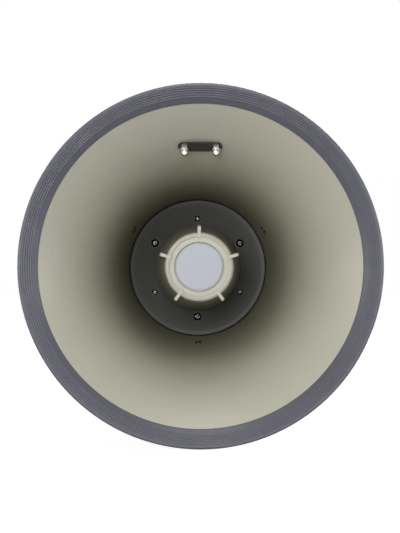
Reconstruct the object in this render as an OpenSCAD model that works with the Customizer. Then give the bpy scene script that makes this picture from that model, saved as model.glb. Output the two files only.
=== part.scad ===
// Hand-grip megaphone with a reflex horn, lying level on its rim and on the foot of its grip.
// The horn's axis runs along Y, with the mouth towards -Y. Depths are measured behind the mouth plane.

/* [Horn] */
// Outside diameter of the rim guard
mouth_d = 280; // [262:1:300]
// Depth from the mouth plane to the end of the bell's neck
bell_len = 180; // [172:1:190]
// Wall of the bell
bell_wall = 3; // [2.4:0.1:3.6]
// Radius that the flare closes in on at the neck
flare_floor_r = 55; // [53:0.5:57]
// Length over which the flare falls to a third
flare_len = 62; // [56:1:68]
// Overhang of the rim guard past the bell's edge line
guard_overhang = 3.5; // [3:0.1:4.5]
// Thickness of the rim guard inside the bell
guard_skin = 1.6; // [1.2:0.1:2.2]
// Height of the fine ribs on the rim guard
guard_rib_h = 0.5; // [0.3:0.05:0.7]

/* [Bullet] */
// Depth of the bullet's front ring behind the mouth plane
nose_s = 88; // [80:1:94]
// Outside radius of the bullet's front ring
nose_r = 28.2; // [26.5:0.1:29.5]
// Radius of the bullet's skirt at its open rear end
skirt_r = 37; // [35.5:0.5:38.5]
// Gap between the bullet's rear edge and the front plane of the throat dish
reflex_gap = 2; // [1.5:0.1:6]
// Number of fins round the bullet
fin_count = 5; // [4:1:6]
// Thickness of a fin
fin_t = 2.6; // [2:0.1:3.2]
// Outside radius of the fins
fin_r = 33.8; // [33:0.1:35]
// Radius of the plain disc in the bullet's nose
badge_r = 18.9; // [17:0.1:19.2]

/* [Throat] */
// Radius of the circle that the six dish screws sit on
dish_screw_ring_r = 43; // [42.5:0.1:43.5]
// Head radius of the three large dish screws
large_head_r = 3.5; // [3.2:0.1:3.7]
// Head radius of the three small dish screws
small_head_r = 2.6; // [2.3:0.1:2.8]
// Outside radius of the tone arm
tone_arm_r = 16; // [15:0.1:16.5]
// Bore of the tone arm where the driver feeds it
throat_r = 9; // [8:0.1:10]

/* [Driver] */
// Outside radius of the driver's front plate
driver_r = 48; // [46.5:0.5:48.5]
// Width of the ring magnet from its bore to its rim
magnet_ring_w = 16; // [13:0.5:17]
// Thickness of the ring magnet
magnet_t = 14; // [10:0.5:16]
// Radius of the voice coil
coil_r = 20; // [18:0.1:21]

/* [Body] */
// Wall of the barrel and the neck housing
body_wall = 3; // [2.6:0.1:3.4]
// Length of the barrel behind the neck housing
barrel_len = 98; // [96:1:104]
// Width of the raised control panel
panel_w = 50; // [48:1:54]
// Length of the raised control panel
panel_len = 52; // [50:1:54]
// Room between the control panel's board and its top wall
panel_room = 10.4; // [10:0.1:12]
// Radius of the volume knob
knob_r = 12; // [10:0.5:13]
// Height of the volume knob
knob_h = 11; // [9:0.5:14]
// Travel of the siren button
button_travel = 2.5; // [2:0.1:2.8]
// Travel of the mode slider each way from the middle
slider_travel = 4; // [3:0.1:4.2]

/* [Batteries] */
// Radius of a battery cell
cell_r = 13.1; // [12.8:0.1:13.2]
// Length of a battery cell with its nub
cell_len = 50; // [48.5:0.5:50.5]
// Gap between neighbouring cells
cell_gap = 0.8; // [0.6:0.1:2]
// Room between the ring of cells and the barrel's inner wall
cell_room = 8.9; // [8:0.1:11]

/* [Rear cover] */
// Depth of the rear cover's shell
cover_len = 42; // [40:1:46]
// Radius of the microphone grille
grille_r = 14; // [12:0.5:15]
// How far the mouth guard's lip stands in from the barrel's outside
lip_inset = 3.5; // [2:0.5:4.5]
// Length of the mouth guard behind the rear cover
lip_len = 22; // [20:1:26]

/* [Grip] */
// Distance from the barrel's front end back to the middle of the grip's foot
grip_back = 35.9; // [30:0.1:40]
// Half width of the grip's foot
foot_half_w = 25; // [23:0.5:28]
// Half length of the grip's foot
foot_half_len = 38; // [34:0.5:40]
// Thickness of the rubber foot pad
pad_t = 4; // [3:0.5:5]
// Width of the trigger
trigger_w = 14; // [12:0.5:15]

/* [Straps] */
// Distance between the two bolts of the strap bracket
bolt_pitch = 25; // [24:0.5:27]
// Depth of the strap bracket behind the mouth plane
bracket_s = 45; // [42:1:50]
// Length of the backing plate inside the bell
strap_plate_len = 35; // [34:0.5:38]
// Width of the backing plate inside the bell
strap_plate_w = 10; // [9:0.5:11]
// Wire radius of the strap rings
ring_wire_r = 2; // [1.6:0.1:2.2]

/* [Hidden] */

cream = [0.76, 0.75, 0.66];
slate = [0.37, 0.37, 0.43];
charcoal = [0.23, 0.23, 0.22];
lavender = [0.74, 0.75, 0.79];
bright_steel = [0.78, 0.78, 0.78];
black_steel = [0.12, 0.12, 0.12];
brass_tint = [0.74, 0.62, 0.35];
board_green = [0.10, 0.34, 0.20];

smooth = 128;
fit = 0.1;
loose = 0.3;
axis_z = mouth_d / 2;

// The barrel takes its radius from the ring of six cells
cell_count = 6;
cell_ring_r = 2 * cell_r + cell_gap;
body_r = cell_ring_r + cell_r + cell_room + body_wall;
grip_top_z = axis_z - body_r;
// The ring magnet clears the voice coil and its gap by its own bore
magnet_bore_r = coil_r + 5;
magnet_r = magnet_bore_r + magnet_ring_w;
// The panel's board stands just clear of the battery holder
holder_r = body_r - body_wall - 2;
panel_wall = 3;
board_h = holder_r + 0.6;
panel_h = board_h + panel_room + panel_wall;

// Places along the horn's axis, as depths behind the mouth plane
lip_s = 3;
bell_edge_s = lip_s + 2.4;
bell_open_r = mouth_d / 2 - guard_overhang;
dish_front_s = bell_len - 2;
dish_wall = 3;
dish_floor_s = dish_front_s + 12;
dish_back_s = dish_floor_s + dish_wall;
flange_t = 2.5;
driver_s = dish_back_s + flange_t + 2 * fit;
driver_plate_t = 6;
motor_s = driver_s + driver_plate_t;
top_plate_t = 6;
magnet_s = motor_s + 0.8 + top_plate_t;
yoke_s = magnet_s + magnet_t + fit;
yoke_t = 6;
driver_end_s = yoke_s + yoke_t + 0.4;
driver_cover_t = 1.5;
neck_end_s = driver_end_s + driver_cover_t + 1.5;
barrel_s = neck_end_s + fit;
grip_s = barrel_s + grip_back;
barrel_end_s = barrel_s + barrel_len;
shelf_s = barrel_s + 9;
holder_s = shelf_s + 24;
holder_plate_t = 2.5;
holder_len = cell_len + 2 * holder_plate_t + 4;
cover_s = barrel_end_s + loose;
cover_end_s = cover_s + cover_len;

// Turns a part drawn along Z, depth upwards, onto the horn's axis: local x is right and local y is down
module horn_axis() translate([0, -grip_s, axis_z]) rotate([-90, 0, 0]) children();
// Turns local x to an angle as seen from the front, counted from the right with 90 at the top
module seen_at(deg) rotate([0, 0, -deg]) children();
module revolved(points) horn_axis() rotate_extrude($fn = smooth) polygon(points);
// A rod along the horn's axis from depth s0 to s1, at radius r from the axis and at an angle
module axial_rod(deg, r, s0, s1, rod_r) horn_axis() seen_at(deg) translate([r, 0, s0])
    cylinder(h = s1 - s0, r = rod_r, $fn = 48);
// A rod that points away from the horn's axis, from radius r0 to r1
module radial_rod(deg, s, r0, r1, rod_r) horn_axis() seen_at(deg) translate([0, 0, s]) rotate([0, 90, 0])
    translate([0, 0, r0]) cylinder(h = r1 - r0, r = rod_r, $fn = 48);
// A rod along X from x0 to x1
module cross_rod(y, z, x0, x1, rod_r) translate([x0, y, z]) rotate([0, 90, 0])
    cylinder(h = x1 - x0, r = rod_r, $fn = 48);
// A flat stadium of a given whole length and width, by exact arcs
module stadium(len, w) {
    square([len - w, w], center = true);
    for (side = [-1, 1]) translate([side * (len - w) / 2, 0]) circle(d = w, $fn = 48);
}
// A rectangle with exact round corners
module rounded(w, len, r) {
    square([w - 2 * r, len], center = true);
    square([w, len - 2 * r], center = true);
    for (x = [-1, 1], y = [-1, 1]) translate([x * (w / 2 - r), y * (len / 2 - r)]) circle(r, $fn = 48);
}

// The bell's inner wall: an exponential flare, and its offset along the normal
function bell_r(s) = flare_floor_r + (bell_open_r - flare_floor_r) * exp(-(s - lip_s) / flare_len);
function bell_slope(s) = -(bell_open_r - flare_floor_r) / flare_len * exp(-(s - lip_s) / flare_len);
function bell_pt(s, out) = let (m = bell_slope(s), n = sqrt(1 + m * m))
    [bell_r(s) + out / n, s - out * m / n];
function bell_curve(s0, s1, count, out) = [for (i = [0 : count]) bell_pt(s0 + (s1 - s0) * i / count, out)];

// The frame of the bell's wall at the top: z outwards from the inner face, y rearwards along the wall
module on_bell_top(s) translate([0, s - grip_s, axis_z + bell_r(s)]) rotate([atan(bell_slope(s)), 0, 0])
    children();
// The same frame at an angle round the neck
module on_bell_wall(deg, s) horn_axis() seen_at(deg) translate([bell_r(s), 0, s])
    rotate([0, 90 + atan(bell_slope(s)), 0]) children();

bell_screw_s = bell_len - 42;
bell_screw_shank_r = 1.7;
bolt_r = 2;
bell_points = 36;

module bell() color(cream) difference() {
    revolved(concat(bell_curve(bell_edge_s, bell_len, bell_points, 0),
        [[bell_r(bell_len) + bell_wall, bell_len]],
        bell_curve(bell_len - 2, bell_edge_s, bell_points, bell_wall)));
    on_bell_top(bracket_s) for (side = [-1, 1]) translate([side * bolt_pitch / 2, 0, -5])
        cylinder(h = 5 + bell_wall + 5, r = bolt_r + fit, $fn = 48);
    for (deg = [30, 150, 270]) on_bell_wall(deg, bell_screw_s) translate([0, 0, -5])
        cylinder(h = 5 + bell_wall + 5, r = bell_screw_shank_r + fit, $fn = 48);
}

// Soft channel pressed over the bell's edge, with fine ribs on the outer part of its front face
guard_in_s = lip_s + 9;
guard_leg_s = lip_s + 14;
guard_leg_t = 2.6;
rib_count = 5;
rib_pitch = 1.25;
rib_half = 0.42;
rib_first_s = lip_s + 4.4;
module rim_guard() color(slate) revolved(concat(
    bell_curve(guard_in_s, bell_edge_s - fit, 4, -fit),
    bell_curve(bell_edge_s - fit, guard_leg_s, 4, bell_wall + fit),
    [bell_pt(guard_leg_s, bell_wall + guard_leg_t)],
    [[mouth_d / 2 - 5.4, 14.6], [mouth_d / 2 - 1.6, 10.6], [mouth_d / 2, 8.2], [mouth_d / 2, 4.9],
        [mouth_d / 2 - 0.7, 4.2], [mouth_d / 2 - 0.7, 3.6], [mouth_d / 2 - 0.05, 3],
        [mouth_d / 2 - 0.3, 1.8], [mouth_d / 2 - 1.1, 1.3], [mouth_d / 2 - 1.2, 0.6],
        [mouth_d / 2 - 1.9, 0], [mouth_d / 2 - 2.7, 0.1]],
    [for (i = [rib_count - 1 : -1 : 0], k = [-1 : 1]) bell_pt(rib_first_s - i * rib_pitch + k * rib_half,
        -guard_skin - (k == 0 ? guard_rib_h : 0))],
    bell_curve(rib_first_s + 1.6, guard_in_s - 0.9, 3, -guard_skin),
    [bell_pt(guard_in_s - 0.2, -guard_skin * 0.6)]));

// The bullet: a cup closed at its nose and open at its rear, where the sound turns forward again
bullet_wall = 2.4;
skirt_len = dish_front_s - reflex_gap - nose_s;
skirt_end_s = nose_s + skirt_len;
badge_t = 1.8;
badge_seat_s = nose_s + 4;
fin_front_s = nose_s - 1.2;
fin_end_s = skirt_end_s - 26;
tone_arm_s = nose_s + 17;
function skirt_at(s) = nose_r + (skirt_r - nose_r) * pow(max(0, s - nose_s) / skirt_len, 1.3);
function skirt_curve(s0, s1, count, inset) =
    [for (i = [0 : count]) let (s = s0 + (s1 - s0) * i / count) [skirt_at(s) - inset, s]];
module bullet_fin() rotate([90, 0, 0]) translate([0, 0, -fin_t / 2]) linear_extrude(fin_t) polygon([
    [nose_r - 4.6, fin_front_s + 0.4], [nose_r - 4.2, fin_front_s], [fin_r - 1, fin_front_s],
    [fin_r, fin_front_s + 1], [fin_r, fin_end_s], [tone_arm_r + fit, fin_end_s],
    [tone_arm_r + fit, tone_arm_s + 4], [nose_r - 4.6, tone_arm_s]]);
module bullet() color(cream) {
    revolved(concat(
        [[0, badge_seat_s], [badge_r + 0.8, badge_seat_s], [badge_r + 1.1, nose_s + 1.6],
            [badge_r + 1.8, nose_s + 0.9], [nose_r - 4.1, nose_s + 0.9], [nose_r - 3.7, nose_s + 0.2],
            [nose_r - 2.6, nose_s], [nose_r - 1.2, nose_s + 0.3], [nose_r - 0.3, nose_s + 1.2]],
        skirt_curve(nose_s + 2.6, skirt_end_s - 0.8, 12, 0),
        [[skirt_r - 0.8, skirt_end_s], [skirt_r - bullet_wall + 0.6, skirt_end_s]],
        skirt_curve(skirt_end_s - 0.8, badge_seat_s + bullet_wall + 3, 12, bullet_wall),
        [[nose_r - bullet_wall - 3, badge_seat_s + bullet_wall], [0, badge_seat_s + bullet_wall]]));
    for (i = [0 : fin_count - 1]) horn_axis() seen_at(90 + i * 360 / fin_count) bullet_fin();
}

badge_back_s = badge_seat_s - fit;
badge_front_s = badge_back_s - badge_t;
module badge_disc() color(lavender) revolved([[0, badge_front_s], [badge_r - 0.4, badge_front_s],
    [badge_r, badge_front_s + 0.4], [badge_r, badge_back_s], [0, badge_back_s]]);

// The inner tube that leads the sound forward from the driver into the bullet
tone_flange_r = 25;
module tone_arm() color(cream) revolved([[throat_r, dish_back_s + fit + flange_t],
    [throat_r, dish_floor_s - 8], [tone_arm_r - 4.6, dish_floor_s - 50],
    [tone_arm_r - 1.6, tone_arm_s + 2], [tone_arm_r - 1, tone_arm_s],
    [tone_arm_r - 0.4, tone_arm_s], [tone_arm_r, tone_arm_s + 0.8], [tone_arm_r, dish_back_s + fit],
    [tone_flange_r, dish_back_s + fit], [tone_flange_r, dish_back_s + fit + flange_t]]);

// The dark dish at the end of the neck, which turns the sound forward round the bullet
dish_r = bell_r(bell_len) - 1;
dish_flange_r = bell_r(bell_len) + bell_wall - 0.2;
dish_flange_s = bell_len + fit;
clamp_r = dish_r - 1.2;
// The dish's face: t runs from 0 at the foot of the tone arm to 1 at the bell's neck
function dish_pt(t, back) = [tone_arm_r + 4 + (dish_r - tone_arm_r - 4) * t,
    dish_front_s + (dish_floor_s - dish_front_s) * pow(cos(90 * t), 1.25) + back];
large_angles = [30, 150, 270];
small_angles = [90, 210, 330];
screw_floor_s = dish_pt((dish_screw_ring_r - tone_arm_r - 4) / (dish_r - tone_arm_r - 4), 0)[1] + 2.2;
dish_boss_r = 5.4;
large_shank_r = 2;
small_shank_r = 1.5;
module dish_pockets(angles, head_r, shank_r) for (deg = angles) {
    axial_rod(deg, dish_screw_ring_r, dish_front_s - 10, screw_floor_s, head_r + 0.5);
    axial_rod(deg, dish_screw_ring_r, dish_front_s, driver_s + 5, shank_r + fit);
}
module throat_dish() color(charcoal) difference() {
    union() {
        revolved(concat([[tone_arm_r + fit, dish_floor_s], [tone_arm_r + 4, dish_floor_s]],
            [for (i = [1 : 11]) dish_pt(i / 12, 0)],
            [[dish_r, dish_front_s], [dish_r, dish_flange_s], [dish_flange_r, dish_flange_s],
            [dish_flange_r, dish_flange_s + dish_wall], [clamp_r - 0.9, dish_flange_s + dish_wall]],
            [for (i = [9 : -1 : 1]) dish_pt(i / 12, dish_wall)],
            [[tone_arm_r + 4, dish_back_s], [tone_arm_r + fit, dish_back_s]]));
        for (deg = concat(large_angles, small_angles))
            axial_rod(deg, dish_screw_ring_r, screw_floor_s - 0.2, driver_s - fit, dish_boss_r);
    }
    dish_pockets(large_angles, large_head_r, large_shank_r);
    dish_pockets(small_angles, small_head_r, small_shank_r);
}

// Cross-recess screws: a domed head that sits on a floor at depth s, and its shank behind it
module axial_screw(deg, s, head_r, shank_r, shank_len) horn_axis() seen_at(deg)
    translate([dish_screw_ring_r, 0, s]) pan_screw(head_r, shank_r, shank_len);
// A pan head screw with its seat at z = 0, its head towards -z and its shank towards +z
module pan_screw(head_r, shank_r, shank_len) difference() {
    rotate_extrude($fn = 48) polygon([[0, -head_r * 0.72], [head_r * 0.5, -head_r * 0.68],
        [head_r * 0.82, -head_r * 0.5], [head_r, -head_r * 0.22], [head_r, 0], [shank_r, 0],
        [shank_r, shank_len - shank_r * 0.6], [shank_r * 0.4, shank_len], [0, shank_len]]);
    for (turn = [0, 90]) rotate([0, 0, turn]) translate([-head_r * 0.55, -head_r * 0.13, -head_r])
        cube([head_r * 1.1, head_r * 0.26, head_r * 0.72]);
}
module dish_screws() color(black_steel) for (deg = large_angles)
    axial_screw(deg, screw_floor_s - fit, large_head_r, large_shank_r, driver_s + 4 - screw_floor_s);
module clamp_screws() color(black_steel) for (deg = small_angles)
    axial_screw(deg, screw_floor_s - fit, small_head_r, small_shank_r, driver_s + 4 - screw_floor_s);
bell_screw_len = 8;
module bell_screws() color(black_steel) for (deg = [30, 150, 270]) on_bell_wall(deg, bell_screw_s)
    translate([0, 0, -fit]) pan_screw(2.8, bell_screw_shank_r, bell_screw_len);

// Strap bracket: a plate inside the bell, a bracket outside, two bolts and two cap nuts
strap_plate_t = 1.5;
nut_af = 7;
nut_h = 3.2;
nut_dome_h = 4.4;
// The plate is flat, so its ends bear on the round wall and its middle stands off
plate_face_z = sqrt(pow(bell_r(bracket_s), 2) - pow(strap_plate_len / 2, 2)) - bell_r(bracket_s) - fit;
module strap_plate() color(black_steel) difference() {
    on_bell_top(bracket_s) translate([0, 0, plate_face_z - strap_plate_t]) linear_extrude(strap_plate_t)
        stadium(strap_plate_len, strap_plate_w);
    strap_bolt_holes();
}
module strap_bolt_holes() on_bell_top(bracket_s) for (side = [-1, 1])
    translate([side * bolt_pitch / 2, 0, -10])
    cylinder(h = 25, r = bolt_r + fit, $fn = 48);
bracket_t = 2;
bracket_top = bell_wall + bracket_t + 2 * fit;
bolt_head_z = bracket_top;
nut_seat_z = plate_face_z - strap_plate_t - fit;
module strap_bolts() color(bright_steel) on_bell_top(bracket_s) for (side = [-1, 1])
    translate([side * bolt_pitch / 2, 0, bolt_head_z]) mirror([0, 0, 1])
    pan_screw(3.6, bolt_r, bolt_head_z - nut_seat_z + nut_h + 1.2);
module cap_nuts() color(bright_steel) on_bell_top(bracket_s) for (side = [-1, 1])
    translate([side * bolt_pitch / 2, 0, nut_seat_z]) mirror([0, 0, 1]) difference() {
    union() {
        cylinder(h = nut_h, d = nut_af / cos(30), $fn = 6);
        rotate_extrude($fn = 48) polygon([[0, 0], [nut_af * 0.47, 0], [nut_af * 0.47, nut_h + 0.6],
            [nut_af * 0.41, nut_h + 2.4], [nut_af * 0.28, nut_h + nut_dome_h - 0.7],
            [nut_af * 0.12, nut_h + nut_dome_h], [0, nut_h + nut_dome_h]]);
    }
    translate([0, 0, -1]) cylinder(h = nut_h + 2.4, r = bolt_r + fit, $fn = 48);
}
tunnel_y = 13;
tunnel_w = 13;
tunnel_z = bracket_top + ring_wire_r + loose - 0.2;
module strap_bracket() color(bright_steel) difference() {
    union() {
        intersection() {
            revolved(concat(bell_curve(bracket_s - 12, bracket_s + 22, 10, bell_wall + bracket_t + fit),
                bell_curve(bracket_s + 22, bracket_s - 12, 10, bell_wall + fit)));
            on_bell_top(bracket_s) linear_extrude(20) {
                stadium(strap_plate_len + 2, strap_plate_w + 1);
                translate([-tunnel_w / 2, 0]) square([tunnel_w, tunnel_y + 4]);
            }
        }
        on_bell_top(bracket_s) translate([-tunnel_w / 2, tunnel_y, tunnel_z]) rotate([0, 90, 0])
            cylinder(h = tunnel_w, r = ring_wire_r + loose + 1.6, $fn = 48);
    }
    on_bell_top(bracket_s) translate([-tunnel_w, tunnel_y, tunnel_z]) rotate([0, 90, 0])
        cylinder(h = 2 * tunnel_w, r = ring_wire_r + loose, $fn = 48);
    revolved(concat(bell_curve(bracket_s - 30, bracket_s + 40, 10, bell_wall + fit),
        [[20, bracket_s + 40], [20, bracket_s - 30]]));
    strap_bolt_holes();
}

// A strap ring: a closed loop of round wire, its pivot bar on X and its bow towards +y
ring_w = 22;
ring_len = 17;
ring_corner_r = 5;
module strap_ring() {
    half = ring_w / 2;
    translate([-half + ring_corner_r, 0, 0]) rotate([0, 90, 0])
        cylinder(h = ring_w - 2 * ring_corner_r, r = ring_wire_r, $fn = 32);
    translate([-half + ring_corner_r, ring_len, 0]) rotate([0, 90, 0])
        cylinder(h = ring_w - 2 * ring_corner_r, r = ring_wire_r, $fn = 32);
    for (side = [-1, 1]) {
        translate([side * half, ring_corner_r, 0]) rotate([-90, 0, 0])
            cylinder(h = ring_len - 2 * ring_corner_r, r = ring_wire_r, $fn = 32);
        for (end = [0, 1])
            translate([side * (half - ring_corner_r), end ? ring_len - ring_corner_r : ring_corner_r, 0])
            rotate([0, 0, side > 0 ? (end ? 0 : -90) : (end ? 90 : 180)])
            rotate_extrude(angle = 90, $fn = 64) translate([ring_corner_r, 0]) circle(ring_wire_r, $fn = 32);
    }
}
// The ring lies back on the flare, tipped up by the flare's own curve
ring_rest_tilt = 3;
module front_strap_ring() color(bright_steel) on_bell_top(bracket_s) translate([0, tunnel_y, tunnel_z])
    rotate([ring_rest_tilt, 0, 0]) strap_ring();

// The driver: front plate, ring magnet between two steel plates, diaphragm, voice coil and dust cover
module driver_plate() color(charcoal) difference() {
    revolved([[throat_r, driver_s], [driver_r, driver_s], [driver_r, driver_s + driver_plate_t],
        [27, driver_s + driver_plate_t], [27, driver_s + 3], [19, driver_s + 3], [throat_r, driver_s + 1.6]]);
    for (deg = large_angles)
        axial_rod(deg, dish_screw_ring_r, driver_s - 1, driver_s + 5, large_shank_r + fit);
    for (deg = small_angles)
        axial_rod(deg, dish_screw_ring_r, driver_s - 1, driver_s + 5, small_shank_r + fit);
}
diaphragm_t = 0.4;
module diaphragm() color(lavender) revolved([[0, driver_s + 5.2], [4, driver_s + 5.3], [9, driver_s + 5.9],
    [14, driver_s + 7.1], [coil_r, motor_s + 0.2], [28.4, motor_s + 0.2], [28.4, motor_s + 0.2 + diaphragm_t],
    [coil_r - 0.2, motor_s + 0.2 + diaphragm_t], [13.8, driver_s + 7.6], [8.8, driver_s + 6.4],
    [4, driver_s + 5.8], [0, driver_s + 5.7]]);
gap_half = 0.9;
module voice_coil() color(brass_tint) revolved([[coil_r - 0.3, motor_s + 0.7], [coil_r + 0.3, motor_s + 0.7],
    [coil_r + 0.3, magnet_s + 3], [coil_r - 0.3, magnet_s + 3]]);
module top_plate() color(bright_steel) revolved([[coil_r + gap_half, motor_s + 0.8],
    [magnet_r, motor_s + 0.8], [magnet_r, magnet_s - fit], [coil_r + gap_half, magnet_s - fit]]);
module magnet() color(black_steel) revolved([[magnet_bore_r, magnet_s], [magnet_r, magnet_s],
    [magnet_r, magnet_s + magnet_t], [magnet_bore_r, magnet_s + magnet_t]]);
module yoke() color(bright_steel) revolved([[0, motor_s + 2.6], [coil_r - gap_half - 1, motor_s + 2.6],
    [coil_r - gap_half, motor_s + 3.6], [coil_r - gap_half, yoke_s], [magnet_r, yoke_s],
    [magnet_r, yoke_s + yoke_t], [0, yoke_s + yoke_t]]);
module driver_cover() color(charcoal) difference() {
    revolved([[magnet_r + 0.2, motor_s + fit], [magnet_r + 0.2 + driver_cover_t, motor_s + fit],
        [magnet_r + 0.2 + driver_cover_t, driver_end_s],
        [magnet_r - 1.3 + driver_cover_t, driver_end_s + driver_cover_t], [0, driver_end_s + driver_cover_t],
        [0, driver_end_s], [magnet_r + 0.2, driver_end_s]]);
    horn_axis() translate([0, -30, driver_end_s - 1]) cylinder(h = 4, r = 3, $fn = 32);
}

// The housing that joins the bell's neck, the dish and the driver to the barrel
spigot_r = body_r - body_wall - 0.2;
spigot_end_s = neck_end_s + 7;
neck_front_s = bell_len - 54;
clamp_s = dish_flange_s + dish_wall + fit;
neck_r = dish_flange_r + 0.2 + body_wall;
// The shoulder falls from the neck's radius to the barrel's in one S-curve
function shoulder_pt(t, out) = [body_r + (neck_r - body_r) * (0.5 + 0.5 * cos(180 * t)) + out,
    clamp_s + (neck_end_s - clamp_s) * t];
module neck_housing() color(charcoal) difference() {
    revolved(concat(bell_curve(neck_front_s, bell_len, 12, bell_wall + fit),
        [[dish_flange_r + 0.2, bell_len + 0.2], [dish_flange_r + 0.2, clamp_s], [clamp_r, clamp_s]],
        [for (i = [2 : 11]) shoulder_pt(i / 12, -body_wall - 0.4)],
        [[spigot_r - 2.8, neck_end_s], [spigot_r - 2.8, spigot_end_s], [spigot_r - 0.6, spigot_end_s],
        [spigot_r, spigot_end_s - 0.6], [spigot_r, neck_end_s], [body_r, neck_end_s]],
        [for (i = [15 : -1 : 0]) shoulder_pt(i / 16, 0)],
        bell_curve(bell_len - 2, neck_front_s + 2.5, 12, bell_wall + fit + 3.6),
        [bell_pt(neck_front_s + 0.6, bell_wall + fit + 3), bell_pt(neck_front_s, bell_wall + fit + 1.8)]));
    for (deg = [30, 150, 270]) on_bell_wall(deg, bell_screw_s) translate([0, 0, -6])
        cylinder(h = 6 + bell_screw_len + 1, r = bell_screw_shank_r + fit, $fn = 48);
    for (deg = barrel_screw_angles)
        radial_rod(deg, barrel_screw_s, body_r - 12, body_r + 8, barrel_screw_r + fit);
}
barrel_screw_angles = [30, 150, 210, 330];
barrel_screw_s = neck_end_s + 3.6;
barrel_screw_r = 1.5;
module barrel_screws() color(black_steel) for (deg = barrel_screw_angles) horn_axis() seen_at(deg)
    translate([body_r - 0.3, 0, barrel_screw_s]) rotate([0, -90, 0]) pan_screw(2.8, barrel_screw_r, 5.6);

// The barrel: tube, bulkhead, raised control panel on top, and the tongue that the grip clamps
panel_front_s = barrel_s + 30;
panel_mid_s = panel_front_s + panel_len / 2;
cavity_w = panel_w - 2 * panel_wall;
cavity_len = panel_len - 2 * panel_wall;
knob_s = panel_front_s + 16;
keys_s = panel_front_s + 39;
key_x = 12;
bushing_r = 3.6;
pot_shaft_r = 3;
button_r = 6.5;
stem_w = 3.2;
slot_len = stem_w + 2 * slider_travel + 0.6;
cap_w = 9;
cap_len = 8;
tongue_t = 8;
tongue_z = grip_top_z - 11;
mount_z = grip_top_z - 6;
mount_ys = [-6, 18];
lug_s = barrel_end_s - 18;
lug_z = axis_z - body_r - ring_wire_r - 2.2;
lug_w = 12;
hinge_h = body_r + 5;
hinge_s = barrel_end_s + loose / 2;
hinge_pin_r = 1.5;
knuckle_r = 3.6;
// Places a part given as x to the right, y behind the mouth plane and z above the horn's axis
module on_panel() translate([0, -grip_s, axis_z]) children();
module hinge_knuckle(x0, x1, r) on_panel() translate([x0, hinge_s, hinge_h]) rotate([0, 90, 0])
    cylinder(h = x1 - x0, r = r, $fn = 48);
module barrel() color(charcoal) difference() {
    union() {
        difference() {
            union() {
                revolved([[0, barrel_s], [body_r, barrel_s], [body_r, barrel_end_s], [0, barrel_end_s]]);
                on_panel() translate([0, panel_mid_s, cell_ring_r]) {
                    linear_extrude(panel_h - cell_ring_r) rounded(panel_w, panel_len, 6);
                    linear_extrude(panel_h - 2 - cell_ring_r) rounded(panel_w + 3, panel_len + 3, 7);
                }
                translate([-tongue_t / 2, mount_ys[0] - 7, tongue_z])
                    cube([tongue_t, mount_ys[1] - mount_ys[0] + 11, 20]);
                translate([-lug_w / 2, lug_s - grip_s - 4, lug_z]) cube([lug_w, 8, 12]);
                cross_rod(lug_s - grip_s, lug_z, -lug_w / 2, lug_w / 2, ring_wire_r + 2);
                for (side = [-1, 1]) on_panel() translate([side * 9.5 - 4.5, barrel_end_s - 9, body_r - 8])
                    cube([9, 9 - loose, hinge_h - body_r + 8]);
            }
            revolved([[0, barrel_s - 1], [body_r - body_wall, barrel_s - 1], [body_r - body_wall, shelf_s],
                [0, shelf_s]]);
            revolved([[0, shelf_s + 3], [body_r - body_wall, shelf_s + 3],
                [body_r - body_wall, barrel_end_s + 1], [0, barrel_end_s + 1]]);
            on_panel() translate([0, panel_mid_s, cell_ring_r])
                linear_extrude(panel_h - panel_wall - cell_ring_r) rounded(cavity_w, cavity_len, 3);
        }
        for (side = [-1, 1]) hinge_knuckle(side * 9.5 - 4.5, side * 9.5 + 4.5, knuckle_r);
        for (x = [-1, 1], y = [-1, 1]) horn_axis() translate([x * 22, y * 20, shelf_s + 2])
            cylinder(h = board_s - fit - shelf_s - 2, r = 3, $fn = 48);
    }
    hinge_knuckle(-20, 20, hinge_pin_r + fit);
    hinge_knuckle(-5.05, 5.05, knuckle_r + 0.8);
    on_panel() translate([0, knob_s, 40]) cylinder(h = 40, r = bushing_r + fit, $fn = 48);
    on_panel() translate([key_x, keys_s, 40]) cylinder(h = 40, r = button_r + loose, $fn = 64);
    on_panel() translate([-key_x - (stem_w + 0.6) / 2, keys_s - slot_len / 2, 40])
        cube([stem_w + 0.6, slot_len, 40]);
    horn_axis() translate([0, 34, shelf_s - 1]) cylinder(h = 5, r = 5, $fn = 48);
    for (y = mount_ys) cross_rod(y, mount_z, -10, 10, mount_screw_r + fit);
    cross_rod(lug_s - grip_s, lug_z, -20, 20, ring_wire_r + loose);
    for (deg = barrel_screw_angles) {
        radial_rod(deg, barrel_screw_s, body_r - 12, body_r + 8, barrel_screw_r + fit);
        radial_rod(deg, barrel_screw_s, body_r - 0.4, body_r + 8, 3.1);
    }
}
module rear_strap_ring() color(bright_steel) translate([0, lug_s - grip_s, lug_z]) rotate([-90, 0, 0])
    strap_ring();

// Electronics on the bulkhead and under the control panel
board_s = shelf_s + 6;
board_t = 1.6;
parts_s = board_s + board_t;
module amplifier_board() color(board_green) difference() {
    horn_axis() translate([-28, -28, board_s]) cube([56, 56, board_t]);
    horn_axis() translate([0, 34, board_s - 1]) cylinder(h = 4, r = 9, $fn = 48);
}
module transformer() color(black_steel) horn_axis() {
    translate([-24, -22, parts_s + 0.05]) cube([22, 20, 3]);
    translate([-24, -22, parts_s + 11]) cube([22, 20, 3]);
    translate([-24, -22, parts_s + 1]) cube([4, 20, 12]);
    translate([-6, -22, parts_s + 1]) cube([4, 20, 12]);
    translate([-13, -12, parts_s + 2]) cylinder(h = 10, r = 6.6, $fn = 48);
}
module heat_sink() color(bright_steel) horn_axis() {
    translate([4, -24, parts_s + 0.05]) cube([22, 3, 14]);
    for (i = [0 : 4]) translate([4 + i * 5, -22, parts_s + 0.05]) cube([2, 9, 14]);
}
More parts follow.
